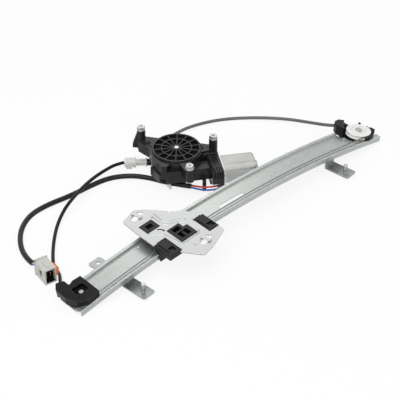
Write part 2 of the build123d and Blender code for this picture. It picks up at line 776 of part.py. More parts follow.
def exit_line(turn, side, height):
    """Tangent of the drum's cable circle: a function from distance to point."""
    ahead = radians(turn)
    out = radians(turn + side * 90)
    start = Vector(motor_x + drum_line * cos(out), motor_y + drum_line * sin(out), height)
    along = Vector(cos(ahead), sin(ahead), 0)
    return start, along


def upper_line():
    return exit_line(upper_exit, 1, high_line)


def lower_line():
    return exit_line(lower_exit, -1, low_line)


def rod(line, radius, near, far):
    """Round bar along a cable's line between two distances."""
    start, along = line
    return Plane(start + along * near, z_dir=along) * Cylinder(
        radius, far - near, align=(Align.CENTER, Align.CENTER, Align.MIN))


def slab(line, half, near, far, low, high):
    """Upright block along a cable's line between two distances and two heights."""
    start, along = line
    place = Plane(Vector(start.X, start.Y, 0), x_dir=along, z_dir=(0, 0, 1))
    return place * block((near, far), (-half, half), (low, high))


def drum_cable_runs():
    """The two strands from the drum to the conduits."""
    return [rod(upper_line(), cable / 2, 9.5, upper_socket), rod(lower_line(), cable / 2, 9.5, adjuster_end)]


def drum_housing():
    """Cup under the drum with a flange to the gear housing and two crossed cable outlets."""
    body = round_bar(24.5, 0, housing_base, motor_x, motor_y)
    body += round_bar(housing_radius, housing_base - 2.2, housing_base, motor_x, motor_y)
    body += slab(upper_line(), 5.2, 0, 33, 4, housing_base)
    body += slab(lower_line(), 5.2, 0, 32, 2, housing_base)
    body += rod(upper_line(), 5.2, 33, upper_socket) + rod(lower_line(), 5.2, 32, lower_socket)
    body -= round_bar(22.3, drum_wall, housing_base + 1, motor_x, motor_y)
    for line, height in ((upper_line(), high_line), (lower_line(), low_line)):
        body -= slab(line, 1.6, 4, 60, height - 1.6, height + 1.6)
    body -= motor(round_bar(shaft_radius, 1, 60))
    for x, y in cover_screws():
        body -= motor(round_bar(screw / 2, 0, 30, x, y))
    return body + round_bar(5.5, 0.5, drum_wall, motor_x, motor_y) - motor(round_bar(shaft_radius, 1, 60))


def drum_housing_screws():
    """Pan head screws that hold the drum housing's flange."""
    low = housing_base - 2.2
    screws = []
    for x, y in cover_screws():
        body = round_bar(screw, low - 2, low) + round_bar(screw / 2, low, housing_base + 7)
        screws.append(motor(Pos(x, y, 0) * body))
    return screws


def can_section(grow):
    """Flattened motor section with rounded corners."""
    return Plane.YZ * RectangleRounded(can_width + 2 * grow, can_height + 2 * grow, can_corner + grow)


def motor_can():
    """Deep-drawn steel can, closed at the far end, with the rear bearing's dome."""
    place = Pos(can_start, gear_axis, gear_height)
    shell = place * extrude(can_section(0), can_length)
    shell = fillet(shell.edges().group_by(Axis.X)[-1], 4)
    shell -= place * Pos(-1, 0, 0) * extrude(can_section(-can_wall), can_length - can_wall + 1)
    end = can_start + can_length
    shell += bar_along(8, end - 1, end + 3.4, gear_axis, gear_height)
    shell -= bar_along(6.2, end - 5, end + 2.2, gear_axis, gear_height)
    return motor(shell)


def end_plate_part():
    """Steel plate between can and brush housing."""
    centre = gear_axis - 2.6
    plate = Pos(can_start - end_plate, centre, gear_height) * extrude(
        Plane.YZ * RectangleRounded(end_plate_width, can_height + 2, 8), end_plate)
    plate -= bar_along(10.5, 0, 80, gear_axis, gear_height)
    plate -= round_bar(boss_radius + slide_gap, arm_bottom - 0.5, boss_top, bosses[1][0], bosses[1][1])
    for y, z in plate_screws:
        plate -= bar_along(screw / 2, 40, 70, y, z)
    return motor(plate)


def end_plate_screws():
    """Screws that hold the plate to the brush housing."""
    screws = []
    for y, z in plate_screws:
        body = bar_along(screw, can_start, can_start + 2, y, z)
        body += bar_along(screw / 2, can_start - 12, can_start, y, z)
        screws.append(motor(body))
    return screws


def brush_housing():
    """Moulded box between gear housing and can; the plug hangs under its wing."""
    end = can_start - end_plate
    body = block((brush_box_start, end), (-63, -16.5), (20.3, 41))
    body += block((brush_box_start, end), (-30, -7), (17, arm_bottom - 0.5))
    body += block((brush_box_start, end), (-46, -19), (9, 30))
    body -= bar_along(11.5, brush_box_start + 2.5, end + 1, gear_axis, gear_height)
    body -= bar_along(bearing_radius, 0, 80, gear_axis, gear_height)
    body -= Pos(brush_box_start, 0, 41) * Rot(0, 45, 0) * Box(5, 200, 5)
    for n in range(louvres):
        x = brush_box_start + 3.5 + louvre_pitch * n
        body -= block((x, x + louvre_pitch / 2), (-64, -49), (28, 42))
    body -= block((brush_box_start + 4, end - 4), (-45, -24), (39.8, 42))
    for y, z in plate_screws:
        body -= bar_along(screw / 2, 40, 70, y, z)
    for y in (-1, 1):
        middle = gear_axis + y * 11
        body -= block((commutator_start, commutator_start + 8), (middle - 3, middle + 3), (19, 27))
    return motor(body)


def brushes():
    """Two carbon brushes either side of the commutator."""
    blocks = []
    for side in (-1, 1):
        near = commutator_radius + slide_gap
        reach = sorted((gear_axis + side * near, gear_axis + side * (near + 6)))
        blocks.append(motor(block((commutator_start, commutator_start + 8), reach, (19, 27))))
    return blocks


def bearings():
    """Sintered bushes at both ends of the shaft."""
    end = can_start + can_length
    bores = bar_along(armature_shaft + running, -40, 130, gear_axis, gear_height)
    front = bar_along(bearing_radius, brush_box_start, brush_box_start + 5, gear_axis, gear_height)
    rear = bar_along(6.2, end - 4, end + 1, gear_axis, gear_height)
    return [motor(front - bores), motor(rear - bores)]


def armature_shaft_part():
    """Motor shaft with the worm rolled on its free end."""
    end = can_start + can_length
    body = bar_along(armature_shaft, -17, end + 2, gear_axis, gear_height)
    root = worm_pitch - 1.25 * gear_module
    body += bar_along(root, -worm_length / 2, worm_length / 2, gear_axis, gear_height)
    lead = pi * gear_module
    outer = worm_pitch + 0.9 * gear_module
    wide = lead / 2 - 0.25
    helix = Helix(pitch=lead, height=worm_length - 2 * lead, radius=root)
    tooth = make_face(Polyline((root - 0.2, -wide / 2), (outer, -0.4), (outer, 0.4), (root - 0.2, wide / 2),
                               close=True))
    thread = sweep(Plane.XZ * tooth, path=helix, is_frenet=True)
    start = Pos(-worm_length / 2 + lead, gear_axis, gear_height)
    body += start * Rot(0, 90, 0) * Rot(0, 0, worm_phase) * thread
    return motor(body)


def armature_core():
    """Laminated core with slots for the winding."""
    core = bar_along(core_radius, core_start, core_start + core_length)
    for n in range(10):
        slot = block((core_start - 1, core_start + core_length + 1), (6.2, core_radius + 1), (-1.3, 1.3))
        core -= Rot(36 * n, 0, 0) * slot
    core -= bar_along(armature_shaft, 0, 200)
    return motor(Pos(0, gear_axis, gear_height) * core)


def armature_windings():
    """Copper in the slots and the two end heads."""
    low = core_start
    high = core_start + core_length
    coil = bar_along(10.2, low - 5, low) + bar_along(10.2, high, high + 4)
    for n in range(10):
        coil += Rot(36 * n, 0, 0) * block((low, high), (6.4, core_radius - 0.8), (-1.2, 1.2))
    coil -= bar_along(armature_shaft, 0, 200)
    return motor(Pos(0, gear_axis, gear_height) * coil)


def commutator():
    """Copper bars on the shaft."""
    bars = bar_along(commutator_radius, commutator_start - 0.5, core_start - 5)
    for n in range(10):
        bars -= Rot(36 * n + 18, 0, 0) * block((40, 70), (commutator_radius - 1, 9), (-0.3, 0.3))
    bars -= bar_along(armature_shaft, 0, 200)
    return motor(Pos(0, gear_axis, gear_height) * bars)


def magnets():
    """Two curved magnets held in the can's sides."""
    outer = can_width / 2 - can_wall
    ring = bar_along(outer, core_start - 3, core_start + core_length + 3)
    ring -= bar_along(core_radius + 0.8, 0, 200)
    pair = ring & (block((0, 200), (6, 30), (-12.4, 12.4)) + block((0, 200), (-30, -6), (-12.4, 12.4)))
    return [motor(Pos(0, gear_axis, gear_height) * piece) for piece in pair.solids()]


def motor_plug():
    """Plug under the brush housing's wing."""
    body = block((plug_start, can_start - end_plate - 0.4), (-62.5, -46.5), (4, 20))
    body -= block((51.5, 55), (-70, -60.5), (6, 12))
    return motor(body)


# Adjuster and conduits

def turned(line, outline):
    """Turned piece on a cable's line: distance along it and radius."""
    start, along = line
    face = make_face(Polyline(*outline, close=True))
    return Plane(start, z_dir=along) * revolve(Plane.XZ * face, Axis.Z)


def adjuster_sleeve():
    """Ribbed sleeve between the housing's socket and the collar."""
    near = lower_socket
    bore = cable / 2 + cable_gap
    body = turned(lower_line(), [(bore, near), (6.6, near), (6.6, near + 2), (4.6, near + 2),
                                 (4.6, near + 16), (bore, near + 16)])
    for n in range(5):
        body += rod(lower_line(), 5.4, near + 4 + 2.4 * n, near + 5.2 + 2.4 * n)
    return body - rod(lower_line(), bore, near, near + 16)


def adjuster_collar_part():
    """Wide collar and round body that takes the conduit."""
    near = lower_socket + 16
    bore = cable / 2 + cable_gap
    return turned(lower_line(), [(bore, near), (7.9, near), (7.9, near + 3), (6.8, near + 3), (6.8, near + 5),
                                 (7.2, near + 5), (7.2, near + 15), (6.4, adjuster_end),
                                 (bore, adjuster_end)])


def adjuster_clip():
    """Clip under the adjuster."""
    clip = slab(lower_line(), 5, lower_socket + 22, lower_socket + 30, 0, low_line - 4)
    return clip - rod(lower_line(), 7.2, 0, 100)


upper_route = [(27.5, 190.5, 9.5), (57, 197.5, 6), (92, 200, 3.6), (138, 185, 3), (178, 156, 3),
               (214, 117, 4), (230.3, 78.7, 8)]
lower_route = [(-59, 194.3, 8.8), (-79, 191.8, 10.5), (-101, 187, 12.8), (-124, 180.8, 13.6),
               (-150, 172, 12.6), (-178, 161.5, 8.8), (-206, 143, 5.2), (-231, 118.5, 3.4),
               (-252, 93, 2.9), (-263, 76, 3), (-266, 60, 4.2)]
sleeve_route = [(-14, 80, 9), (-23, 98, 7), (-31.5, 119, 4.6), (-40, 141, 4), (-56, 163.5, 4),
                (-82, 180, 4), (-113, 183.5, 4), (-150, 184, 4), (-187, 189.5, 4), (-219, 187.5, 4),
                (-247, 171, 4), (-268, 145, 4), (-279.5, 117, 4.5), (-281, 99, 6.5)]
end_run = 16.0
end_gap = 0.3


def upper_conduit():
    """Grey conduit from the drum housing to the tower."""
    start, along = upper_line()
    end, out = upper_seat()
    points = [start + along * (upper_socket + end_gap), *upper_route, end + out * end_run, end + out * end_gap]
    return cord("upper_conduit", [tuple(Vector(p)) for p in points], conduit)


def lower_conduit():
    """Black conduit from the adjuster to the guide."""
    start, along = lower_line()
    end, out = lower_seat()
    points = [start + along * (adjuster_end + 0.9), *lower_route, end + out * end_run, end + out * end_gap]
    return cord("lower_conduit", [tuple(Vector(p)) for p in points], conduit)


def harness_sleeve():
    """Smooth tubing round the wires."""
    return cord("harness_sleeve", sleeve_route, sleeve)


def cable_tie():
    """Nylon tie round the sleeve."""
    start = Vector(-23, 98, 7)
    along = (Vector(-31.5, 119, 4.6) - start).normalized()
    place = Plane(start + along * 12, x_dir=Vector(0, 0, 1) - along * along.Z, z_dir=along)
    band = Cylinder(sleeve / 2 + 1.1, 3) - Cylinder(sleeve / 2 + fit, 4)
    lock = Pos(0, -sleeve / 2 - 2.4, 0) * Box(4.5, 3.4, 4)
    return place * (band + lock)


def plug_wire(points, offset):
    """One wire from the motor plug into the sleeve."""
    place = Pos(motor_x, motor_y, 0) * Rot(0, 0, motor_turn)
    route = [tuple((place * Pos(*point)).position) for point in points]
    end = Vector(*sleeve_route[0]) + Vector(*offset)
    return cord("wire", [*route, tuple(end)], wire)


def red_wire():
    return plug_wire([(plug_start - 0.2, -56, 12.5), (41, -56, 12), (31, -54, 11), (20.5, -49, 10.3)],
                     (0.8, 0, 1.3))


def blue_wire():
    return plug_wire([(plug_start - 0.2, -58.5, 9), (41.5, -58.8, 8.6), (31, -57, 8), (20.5, -51.5, 7.6)],
                     (-0.4, -1.6, -1))


# Connector

def connector(shape):
    """Set down at the connector: its mating face points along its own +X."""
    return Pos(-281, 68, 0) * Rot(0, 0, -98) * shape


def connector_body():
    """Socket with a latch window on the side and a flange round the wires' end."""
    body = block((-12.5, 12.5), (-8.5, 8.5), (0, 24)) + block((-18.5, -12.5), (-7.5, 7.5), (2, 22))
    body -= block((-2, 13), (-6.7, 6.7), (2, 22))
    body -= block((-6, 4), (-9, -7.4), (6, 18))
    body -= block((-19, -14), (-6, 6), (4, 20))
    body -= block((4, 9), (6.7, 9), (12, 18))
    for y, z in blades:
        body -= block((-15, 0), (y - 0.4, y + 0.4), (z - 1, z + 1))
    return connector(body)


def connector_lock():
    """Secondary lock that slides in from the side."""
    body = block((0, 12), (8.5, 12.2), (10, 20)) + block((4, 9), (6.7, 9), (12, 18))
    return connector(body)


blades = [(y, z) for y in (-3, 3) for z in (8, 12, 16)]


def terminals():
    """Blades in the mating cavity."""
    return [connector(block((-14, 6), (y - 0.4, y + 0.4), (z - 1, z + 1))) for y, z in blades]


def plug_wires():
    """Wires from the sleeve's end into the connector."""
    pieces = []
    for n in (-1, 0, 1):
        start = Vector(*sleeve_route[-1]) + Vector(2.3 * n, -0.4, 0)
        end = (Pos(-281, 68, 0) * Rot(0, 0, -98) * Pos(-14.5, 3 * n, 12)).position
        path = Spline(start, end, tangents=[(0.0, -1, 0.2), (0.14, -0.99, 0)])
        pieces.append(sweep(Plane(path @ 0, z_dir=path % 0) * Circle(wire / 2), path=path))
    return pieces


nodes = {
    "guide_rail": guide_rail, "lower_bracket": lower_bracket, "upper_bracket": upper_bracket,
    "bracket_studs": bracket_studs, "lower_cable_guide": lower_cable_guide, "pulley_bracket": pulley_bracket,
    "pulley_pin": pulley_pin, "pulley": pulley, "guide_rivets": guide_rivets, "lift_cable": rail_cable,
    "drum_cable_runs": drum_cable_runs, "carrier_plate": carrier_plate, "far_slider": far_slider,
    "near_slider_lower": near_slider_lower, "near_slider_upper": near_slider_upper,
    "cable_block": cable_block, "cable_nipples": cable_nipples, "gear_housing": gear_housing,
    "threaded_inserts": threaded_inserts, "mounting_bolts": mounting_bolts, "output_shaft": output_shaft,
    "worm_wheel": worm_wheel, "damper": damper, "cable_drum": cable_drum, "cable_winding": cable_winding,
    "drum_housing": drum_housing, "drum_housing_screws": drum_housing_screws, "motor_can": motor_can,
    "end_plate": end_plate_part, "end_plate_screws": end_plate_screws, "brush_housing": brush_housing,
    "brushes": brushes, "bearings": bearings, "armature_shaft": armature_shaft_part,
    "armature_core": armature_core, "armature_windings": armature_windings, "commutator": commutator,
    "magnets": magnets, "motor_plug": motor_plug, "adjuster_sleeve": adjuster_sleeve,
    "adjuster_collar": adjuster_collar_part, "adjuster_clip": adjuster_clip,
    "upper_conduit": upper_conduit, "lower_conduit": lower_conduit, "harness_sleeve": harness_sleeve,
    "cable_tie": cable_tie, "connector_body": connector_body, "connector_lock": connector_lock,
    "terminals": terminals, "plug_wires": plug_wires, "red_wire": red_wire, "blue_wire": blue_wire,
}

os.makedirs("parts", exist_ok=True)
for name, make in nodes.items():
    made = make()
    solids = made if isinstance(made, list) else [made]
    solids = [solid for shape in solids for solid in shape.solids()]
    placed = [Pos(rail_x, rail_y, 0) * solid for solid in solids]
    shape = placed[0] if len(placed) == 1 else Compound(children=placed)
    export_step(shape, "parts/" + name + ".step")
    box = shape.bounding_box()
    print(name, len(placed), [round(v, 1) for v in (*box.min, *box.max)])
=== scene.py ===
import math
import bmesh
import bpy
from mathutils import Matrix, Vector


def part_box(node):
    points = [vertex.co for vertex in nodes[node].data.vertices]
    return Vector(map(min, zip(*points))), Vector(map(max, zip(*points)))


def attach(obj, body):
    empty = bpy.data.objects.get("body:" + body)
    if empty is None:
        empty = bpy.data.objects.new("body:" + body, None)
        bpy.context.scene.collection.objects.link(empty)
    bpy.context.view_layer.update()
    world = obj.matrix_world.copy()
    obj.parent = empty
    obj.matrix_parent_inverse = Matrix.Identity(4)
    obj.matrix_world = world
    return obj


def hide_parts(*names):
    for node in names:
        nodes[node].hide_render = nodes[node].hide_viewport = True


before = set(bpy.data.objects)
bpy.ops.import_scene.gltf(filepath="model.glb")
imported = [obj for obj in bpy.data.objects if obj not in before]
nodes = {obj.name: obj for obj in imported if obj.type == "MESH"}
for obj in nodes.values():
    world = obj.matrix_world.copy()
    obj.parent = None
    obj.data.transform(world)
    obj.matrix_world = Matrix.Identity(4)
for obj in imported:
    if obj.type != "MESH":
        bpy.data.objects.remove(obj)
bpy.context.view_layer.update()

# Floor and studio light: a sheet of white paper under the regulator, one large soft lamp over its left
# side, weaker ones on the right and in front, and one high behind it, which the lower half of the arched
# rail mirrors.
scene = bpy.context.scene
paper_reach = 6.0
paper_corners = [(-paper_reach, -paper_reach, 0), (paper_reach, -paper_reach, 0),
                 (paper_reach, paper_reach, 0), (-paper_reach, paper_reach, 0)]
floor_mesh = bpy.data.meshes.new("floor")
floor_mesh.from_pydata(paper_corners, [], [(0, 1, 2, 3)])
floor = bpy.data.objects.new("floor", floor_mesh)
scene.collection.objects.link(floor)


def new_node(tree, kind, feeds=None, **settings):
    """Adds a shader node; feeds gives its sockets plain values or the outputs of other nodes."""
    node = tree.nodes.new("ShaderNode" + kind)
    for setting, value in settings.items():
        setattr(node, setting, value)
    for socket, value in (feeds or {}).items():
        if isinstance(value, bpy.types.NodeSocket):
            tree.links.new(value, node.inputs[socket])
        else:
            node.inputs[socket].default_value = value
    return node


def worked_out(tree, operation, *values, clamp=False):
    """The output of a Math node that is fed with these values."""
    return new_node(tree, "Math", dict(enumerate(values)), operation=operation, use_clamp=clamp).outputs[0]


def seen_directly(tree, share):
    """How much of a white backdrop is shown to the eye and in metal and glass, up to the given share."""
    rays = new_node(tree, "LightPath").outputs
    seen = worked_out(tree, "MAXIMUM", rays["Is Camera Ray"], rays["Is Transmission Ray"])
    seen = worked_out(tree, "MAXIMUM", seen, rays["Is Glossy Ray"])
    return worked_out(tree, "MULTIPLY", seen, share)


floor_paper = bpy.data.materials.new("floor_paper")
floor_paper.use_nodes = True
tree = floor_paper.node_tree
fibres = new_node(tree, "TexNoise", {"Scale": 900})
whites = new_node(tree, "MapRange", {"Value": fibres.outputs["Fac"], "To Min": 0.92, "To Max": 0.96})
shade = new_node(tree, "CombineColor", dict.fromkeys(("Red", "Green", "Blue"), whites.outputs["Result"]))
paper_shader = tree.nodes["Principled BSDF"]
paper_shader.inputs["Roughness"].default_value = 0.9
paper_shader.inputs["Specular IOR Level"].default_value = 0.1
tree.links.new(shade.outputs["Color"], paper_shader.inputs["Base Color"])
glow = new_node(tree, "Emission", {"Strength": 1.0})
lifted = new_node(tree, "MixShader", {"Fac": seen_directly(tree, share=0.86),
                                      1: paper_shader.outputs["BSDF"], 2: glow.outputs["Emission"]})
tree.links.new(lifted.outputs["Shader"], tree.nodes["Material Output"].inputs["Surface"])
floor_mesh.materials.append(floor_paper)

white = (1, 1, 1, 1)
studio = bpy.data.worlds.new("studio")
studio.use_nodes = True
tree = studio.node_tree
tree.nodes.clear()
room = new_node(tree, "Background", {"Color": white, "Strength": 0.50})
backdrop = new_node(tree, "Background", {"Color": white, "Strength": 1.0})
shown = new_node(tree, "MixShader", {"Fac": seen_directly(tree, share=1.0), 1: room.outputs[0],
                                     2: backdrop.outputs[0]})
new_node(tree, "OutputWorld", {"Surface": shown.outputs[0]})
scene.world = studio

lamps = [("lamp_over", (-0.7, -0.2, 1.5), 1.3, 13.0), ("lamp_right", (1.2, -1.1, 0.9), 0.8, 4.0),
         ("lamp_front", (-0.9, -1.3, 0.55), 0.9, 3.5), ("lamp_behind", (0.72, 1.12, 1.30), 0.8, 3.0)]
for name, place, size, watts in lamps:
    lamp = bpy.data.lights.new(name, "AREA")
    lamp.shape = "SQUARE"
    lamp.size = size
    lamp.energy = watts
    light = bpy.data.objects.new(name, lamp)
    light.location = place
    light.rotation_euler = (-Vector(place)).to_track_quat("-Z", "Y").to_euler()
    scene.collection.objects.link(light)

# Camera: the photograph's view, a long lens from high on the left of the rail's lower end, looking along
# the rail towards its upper end.
lens = bpy.data.cameras.new("camera")
lens.lens = 115.98
lens.sensor_width = 36.0
lens.clip_end = 20
camera = bpy.data.objects.new("camera", lens)
camera.location = (-0.9899, -1.0733, 1.1091)
looked_at = Vector((-0.02489, -0.02231, 0.020))
camera.rotation_euler = (looked_at - camera.location).to_track_quat("-Z", "Y").to_euler()
scene.collection.objects.link(camera)
scene.camera = camera
scene.view_settings.view_transform = "Standard"


def new_effect(name, takes, gives):
    """An empty node group with named inputs and outputs, each with its kind of socket."""
    group = bpy.data.node_groups.new(name, "ShaderNodeTree")
    for socket, kind in takes.items():
        group.interface.new_socket(socket, in_out="INPUT", socket_type="NodeSocket" + kind)
    for socket, kind in gives.items():
        group.interface.new_socket(socket, in_out="OUTPUT", socket_type="NodeSocket" + kind)
    return group, group.nodes.new("NodeGroupInput").outputs, group.nodes.new("NodeGroupOutput").inputs


def blended(tree, kind, share, first, second):
    """The output of a Mix node between two numbers, kind FLOAT, or two colours, kind RGBA."""
    mix = new_node(tree, "Mix", {"Factor": share, "A": first, "B": second}, data_type=kind)
    return mix.outputs["Result"]


def edge_effect():
    """The rounding of a pressed or moulded edge as a normal, and a patchy painted highlight along it as a
    mask.
    """
    flat_cosine, bent_cosine = 0.995, 0.90
    hollow_pointiness, outer_pointiness = 0.485, 0.505
    faintest_glint = 0.45
    group, given, result = new_effect("edge_highlight", {"Reach": "Float", "Radius": "Float"},
                                      {"Mask": "Float", "Normal": "Vector"})
    surface = new_node(group, "NewGeometry").outputs
    place = new_node(group, "TexCoord").outputs["Object"]
    rounded = new_node(group, "Bevel", {"Radius": given["Radius"]}, samples=6).outputs["Normal"]
    turn = new_node(group, "VectorMath", {0: rounded, 1: surface["Normal"]}, operation="DOT_PRODUCT")
    bent = new_node(group, "MapRange", {"Value": turn.outputs["Value"], "From Min": flat_cosine,
                                        "From Max": bent_cosine})
    outward = new_node(group, "MapRange", {"Value": surface["Pointiness"], "From Min": hollow_pointiness,
                                           "From Max": outer_pointiness})
    noise = new_node(group, "TexNoise", {"Vector": place, "Scale": 400, "Detail": 4})
    # Noise breaks the painted edge highlight into patches.
    painted_glint = new_node(group, "MapRange", {"Value": noise.outputs["Fac"], "From Min": 0.35, "From Max": 0.60,
                                        "To Min": faintest_glint})
    mask = worked_out(group, "MULTIPLY", bent.outputs["Result"], outward.outputs["Result"], clamp=True)
    mask = worked_out(group, "MULTIPLY", mask, painted_glint.outputs["Result"], clamp=True)
    mask = worked_out(group, "MULTIPLY", mask, given["Reach"], clamp=True)
    group.links.new(mask, result["Mask"])
    group.links.new(rounded, result["Normal"])
    return group


def surface_effect():
    """Patches, crystals and grain of a surface, as a colour between two tones, a roughness and a height."""
    grain_share = 0.3
    takes = {"Dark": "Color", "Light": "Color", "Stretch": "Vector", "Patch": "Float", "Grain": "Float",
             "Crystal": "Float", "Smooth": "Float", "Rough": "Float"}
    gives = {"Color": "Color", "Roughness": "Float", "Height": "Float"}
    group, given, result = new_effect("mottle", takes, gives)
    place = new_node(group, "TexCoord").outputs["Object"]
    drawn = new_node(group, "VectorMath", {0: place, 1: given["Stretch"]}, operation="MULTIPLY")
    patch = new_node(group, "TexNoise", {"Vector": drawn.outputs["Vector"], "Scale": given["Patch"],
                                         "Detail": 5, "Roughness": 0.6})
    grain = new_node(group, "TexNoise", {"Vector": place, "Scale": given["Grain"], "Detail": 3})
    crystals = new_node(group, "TexVoronoi", {"Vector": place, "Scale": 420})
    facet = new_node(group, "SeparateColor", {"Color": crystals.outputs["Color"]})
    grained = blended(group, "FLOAT", grain_share, patch.outputs["Fac"], grain.outputs["Fac"])
    flecked = blended(group, "FLOAT", given["Crystal"], grained, facet.outputs["Red"])
    contrast = new_node(group, "MapRange", {"Value": flecked, "From Min": 0.32, "From Max": 0.68})
    tone = blended(group, "RGBA", contrast.outputs["Result"], given["Dark"], given["Light"])
    gloss = blended(group, "FLOAT", contrast.outputs["Result"], given["Smooth"], given["Rough"])
    group.links.new(tone, result["Color"])
    group.links.new(gloss, result["Roughness"])
    group.links.new(grain.outputs["Fac"], result["Height"])
    return group


edge_highlight = edge_effect()
mottle = surface_effect()
grain_height = 0.0004


def finish(name, dark, light, metal=0.0, smooth=0.3, rough=0.5, patch=60, grain=1200, bump=0.1, edge=None,
           edge_reach=0.5, edge_radius=0.0004, level=0.5, crystal=0.0, stretch=(1, 1, 1)):
    """A material between two tones and two roughnesses, with a grain and, where given, a painted highlight
    on its edges.
    """
    made = bpy.data.materials.new(name)
    made.use_nodes = True
    tree = made.node_tree
    shader = tree.nodes["Principled BSDF"]
    shader.inputs["Metallic"].default_value = metal
    shader.inputs["Specular IOR Level"].default_value = level
    looks = {"Dark": (*dark, 1), "Light": (*light, 1), "Stretch": stretch, "Patch": patch, "Grain": grain,
             "Crystal": crystal, "Smooth": smooth, "Rough": rough}
    surface = new_node(tree, "Group", looks, node_tree=mottle, name="surface").outputs
    raised = new_node(tree, "Bump", {"Strength": bump, "Distance": grain_height,
                                     "Height": surface["Height"]}, name="raised")
    colour = surface["Color"]
    if edge:
        # Painted highlight: the edges are lightened towards the edge colour, and the rounding bends the
        # normal.
        painted_glint = new_node(tree, "Group", {"Reach": edge_reach, "Radius": edge_radius}, node_tree=edge_highlight)
        tree.links.new(painted_glint.outputs["Normal"], raised.inputs["Normal"])
        colour = blended(tree, "RGBA", painted_glint.outputs["Mask"], colour, (*edge, 1))
    tree.links.new(colour, shader.inputs["Base Color"])
    tree.links.new(surface["Roughness"], shader.inputs["Roughness"])
    tree.links.new(raised.outputs["Normal"], shader.inputs["Normal"])
    return made


def dress(material, *names):
    """Gives CAD nodes their finish."""
    for name in names:
        piece = nodes[name]
        piece.data.materials.clear()
        piece.data.materials.append(material)


# Rail and brackets: galvanised sheet, with a painted highlight along their edges.
rail_zinc = finish("rail_galvanising", (0.385, 0.405, 0.392), (0.48, 0.502, 0.487), metal=0.85, smooth=0.30,
                   rough=0.44, patch=60, grain=900, bump=0.05, edge=(0.74, 0.75, 0.74), edge_reach=0.8,
                   crystal=0.25, stretch=(0.12, 1, 1))
dress(rail_zinc, "guide_rail")
bracket_zinc = finish("bracket_galvanising", (0.27, 0.282, 0.275), (0.37, 0.384, 0.375), metal=0.85,
                      smooth=0.32, rough=0.46, patch=90, grain=900, bump=0.06, edge=(0.70, 0.71, 0.70),
                      edge_reach=0.8, crystal=0.3)
dress(bracket_zinc, "lower_bracket", "upper_bracket")

# Carrier plate: the same sheet from a fresher coil, so paler, drawn with lips, ridges, loops and windows
# in one press stroke. Its ridges and lips get a strong painted highlight.
plate_zinc = finish("plate_galvanising", (0.345, 0.353, 0.349), (0.43, 0.438, 0.433), metal=0.85,
                    smooth=0.26, rough=0.40, patch=80, grain=1000, bump=0.05, edge=(0.92, 0.92, 0.92),
                    edge_reach=1.0, crystal=0.2, edge_radius=0.0007)
dress(plate_zinc, "carrier_plate")

# Fasteners: weld studs, rivets, the pulley's pin, flange bolts, screws, their inserts and the cable's
# nipples. They are turned, headed or cast and zinc-plated, smoother and a little warmer than the sheet.
# Their edges carry a painted highlight.
bolt_zinc = finish("zinc_plate", (0.33, 0.34, 0.336), (0.50, 0.51, 0.505), metal=0.9, smooth=0.22,
                   rough=0.36, patch=300, grain=2500, bump=0.05, edge=(0.88, 0.88, 0.85), edge_reach=0.8)
dress(bolt_zinc, "bracket_studs", "guide_rivets", "pulley_pin", "mounting_bolts", "end_plate_screws",
      "drum_housing_screws", "threaded_inserts", "cable_nipples")

# Sliding shoes and cable block: black acetal, moulded, clipped through the carrier plate's windows. The
# shoes carry the plate along the rail's flanges, so their faces are smooth.
# Their edges carry a faint painted highlight.
shoe_acetal = finish("shoe_acetal", (0.006, 0.006, 0.006), (0.012, 0.012, 0.012), smooth=0.30, rough=0.42,
                     patch=90, grain=2200, bump=0.06, edge=(0.10, 0.10, 0.10), edge_reach=0.7, level=0.2)
dress(shoe_acetal, "far_slider", "near_slider_lower", "near_slider_upper", "cable_block")

# Lift cable: 1.5 mm stranded steel rope, greased and dark, whose strands show as fine slanting ridges. It
# runs from the drum through both conduits and along the rail, and its nipples sit in the carrier.
rope_steel = finish("rope_steel", (0.10, 0.10, 0.10), (0.24, 0.24, 0.24), metal=0.8, smooth=0.3, rough=0.5,
                    patch=1500, grain=3000, bump=0.3)
tree = rope_steel.node_tree
along = new_node(tree, "TexCoord").outputs["Object"]
strands = new_node(tree, "TexWave", {"Vector": along, "Scale": 420}, bands_direction="DIAGONAL")
tree.links.new(strands.outputs["Fac"], tree.nodes["raised"].inputs["Height"])
dress(rope_steel, "lift_cable", "drum_cable_runs", "cable_winding")

# Lower cable guide and pulley bracket: black glass-filled nylon, moulded in one piece each and riveted to
# the rail's ends, satin, with a patchy painted highlight along its edges.
guide_nylon = finish("guide_nylon", (0.004, 0.004, 0.004), (0.009, 0.009, 0.009), smooth=0.30, rough=0.42,
                     patch=90, grain=2200, bump=0.10, edge=(0.12, 0.12, 0.12), edge_reach=0.8, level=0.14,
                     edge_radius=0.0006)
dress(guide_nylon, "lower_cable_guide", "pulley_bracket")

# Pulley: natural acetal, milk white and slightly waxy, turning on a zinc-plated pin. The cable drum and
# the worm wheel, inside the two housings, are moulded from the same acetal.
# Its edges carry a painted highlight.
white_acetal = finish("white_acetal", (0.82, 0.82, 0.79), (0.90, 0.90, 0.88), smooth=0.3, rough=0.42,
                      patch=100, grain=2000, bump=0.05, edge=(0.90, 0.90, 0.88))
dress(white_acetal, "pulley", "cable_drum", "worm_wheel")

# Gear and drum housings: two black glass-filled mouldings screwed together, with the ribbed cover over the
# worm wheel, and the brush housing and plug beside them. Satin, greyer where light catches the rounded ribs.
housing_plastic = finish("housing_plastic", (0.007, 0.007, 0.007), (0.016, 0.016, 0.016), smooth=0.24,
                         rough=0.38, patch=120, grain=2500, bump=0.12, edge=(0.15, 0.15, 0.15),
                         edge_reach=0.9, level=0.28, edge_radius=0.0006)
dress(housing_plastic, "gear_housing", "drum_housing", "brush_housing", "motor_plug")

# Motor can: deep-drawn steel with a dull nickel-zinc finish, drawn lines along its length and a painted
# highlight on its bends. The end plate closes its open end, held to the brush housing by two screws.
can_plating = finish("can_plating", (0.37, 0.37, 0.362), (0.50, 0.50, 0.488), metal=0.75, smooth=0.36,
                     rough=0.50, patch=70, grain=1500, bump=0.05, edge=(0.86, 0.86, 0.86), edge_reach=0.8,
                     stretch=(0.3, 1, 1))
dress(can_plating, "motor_can")
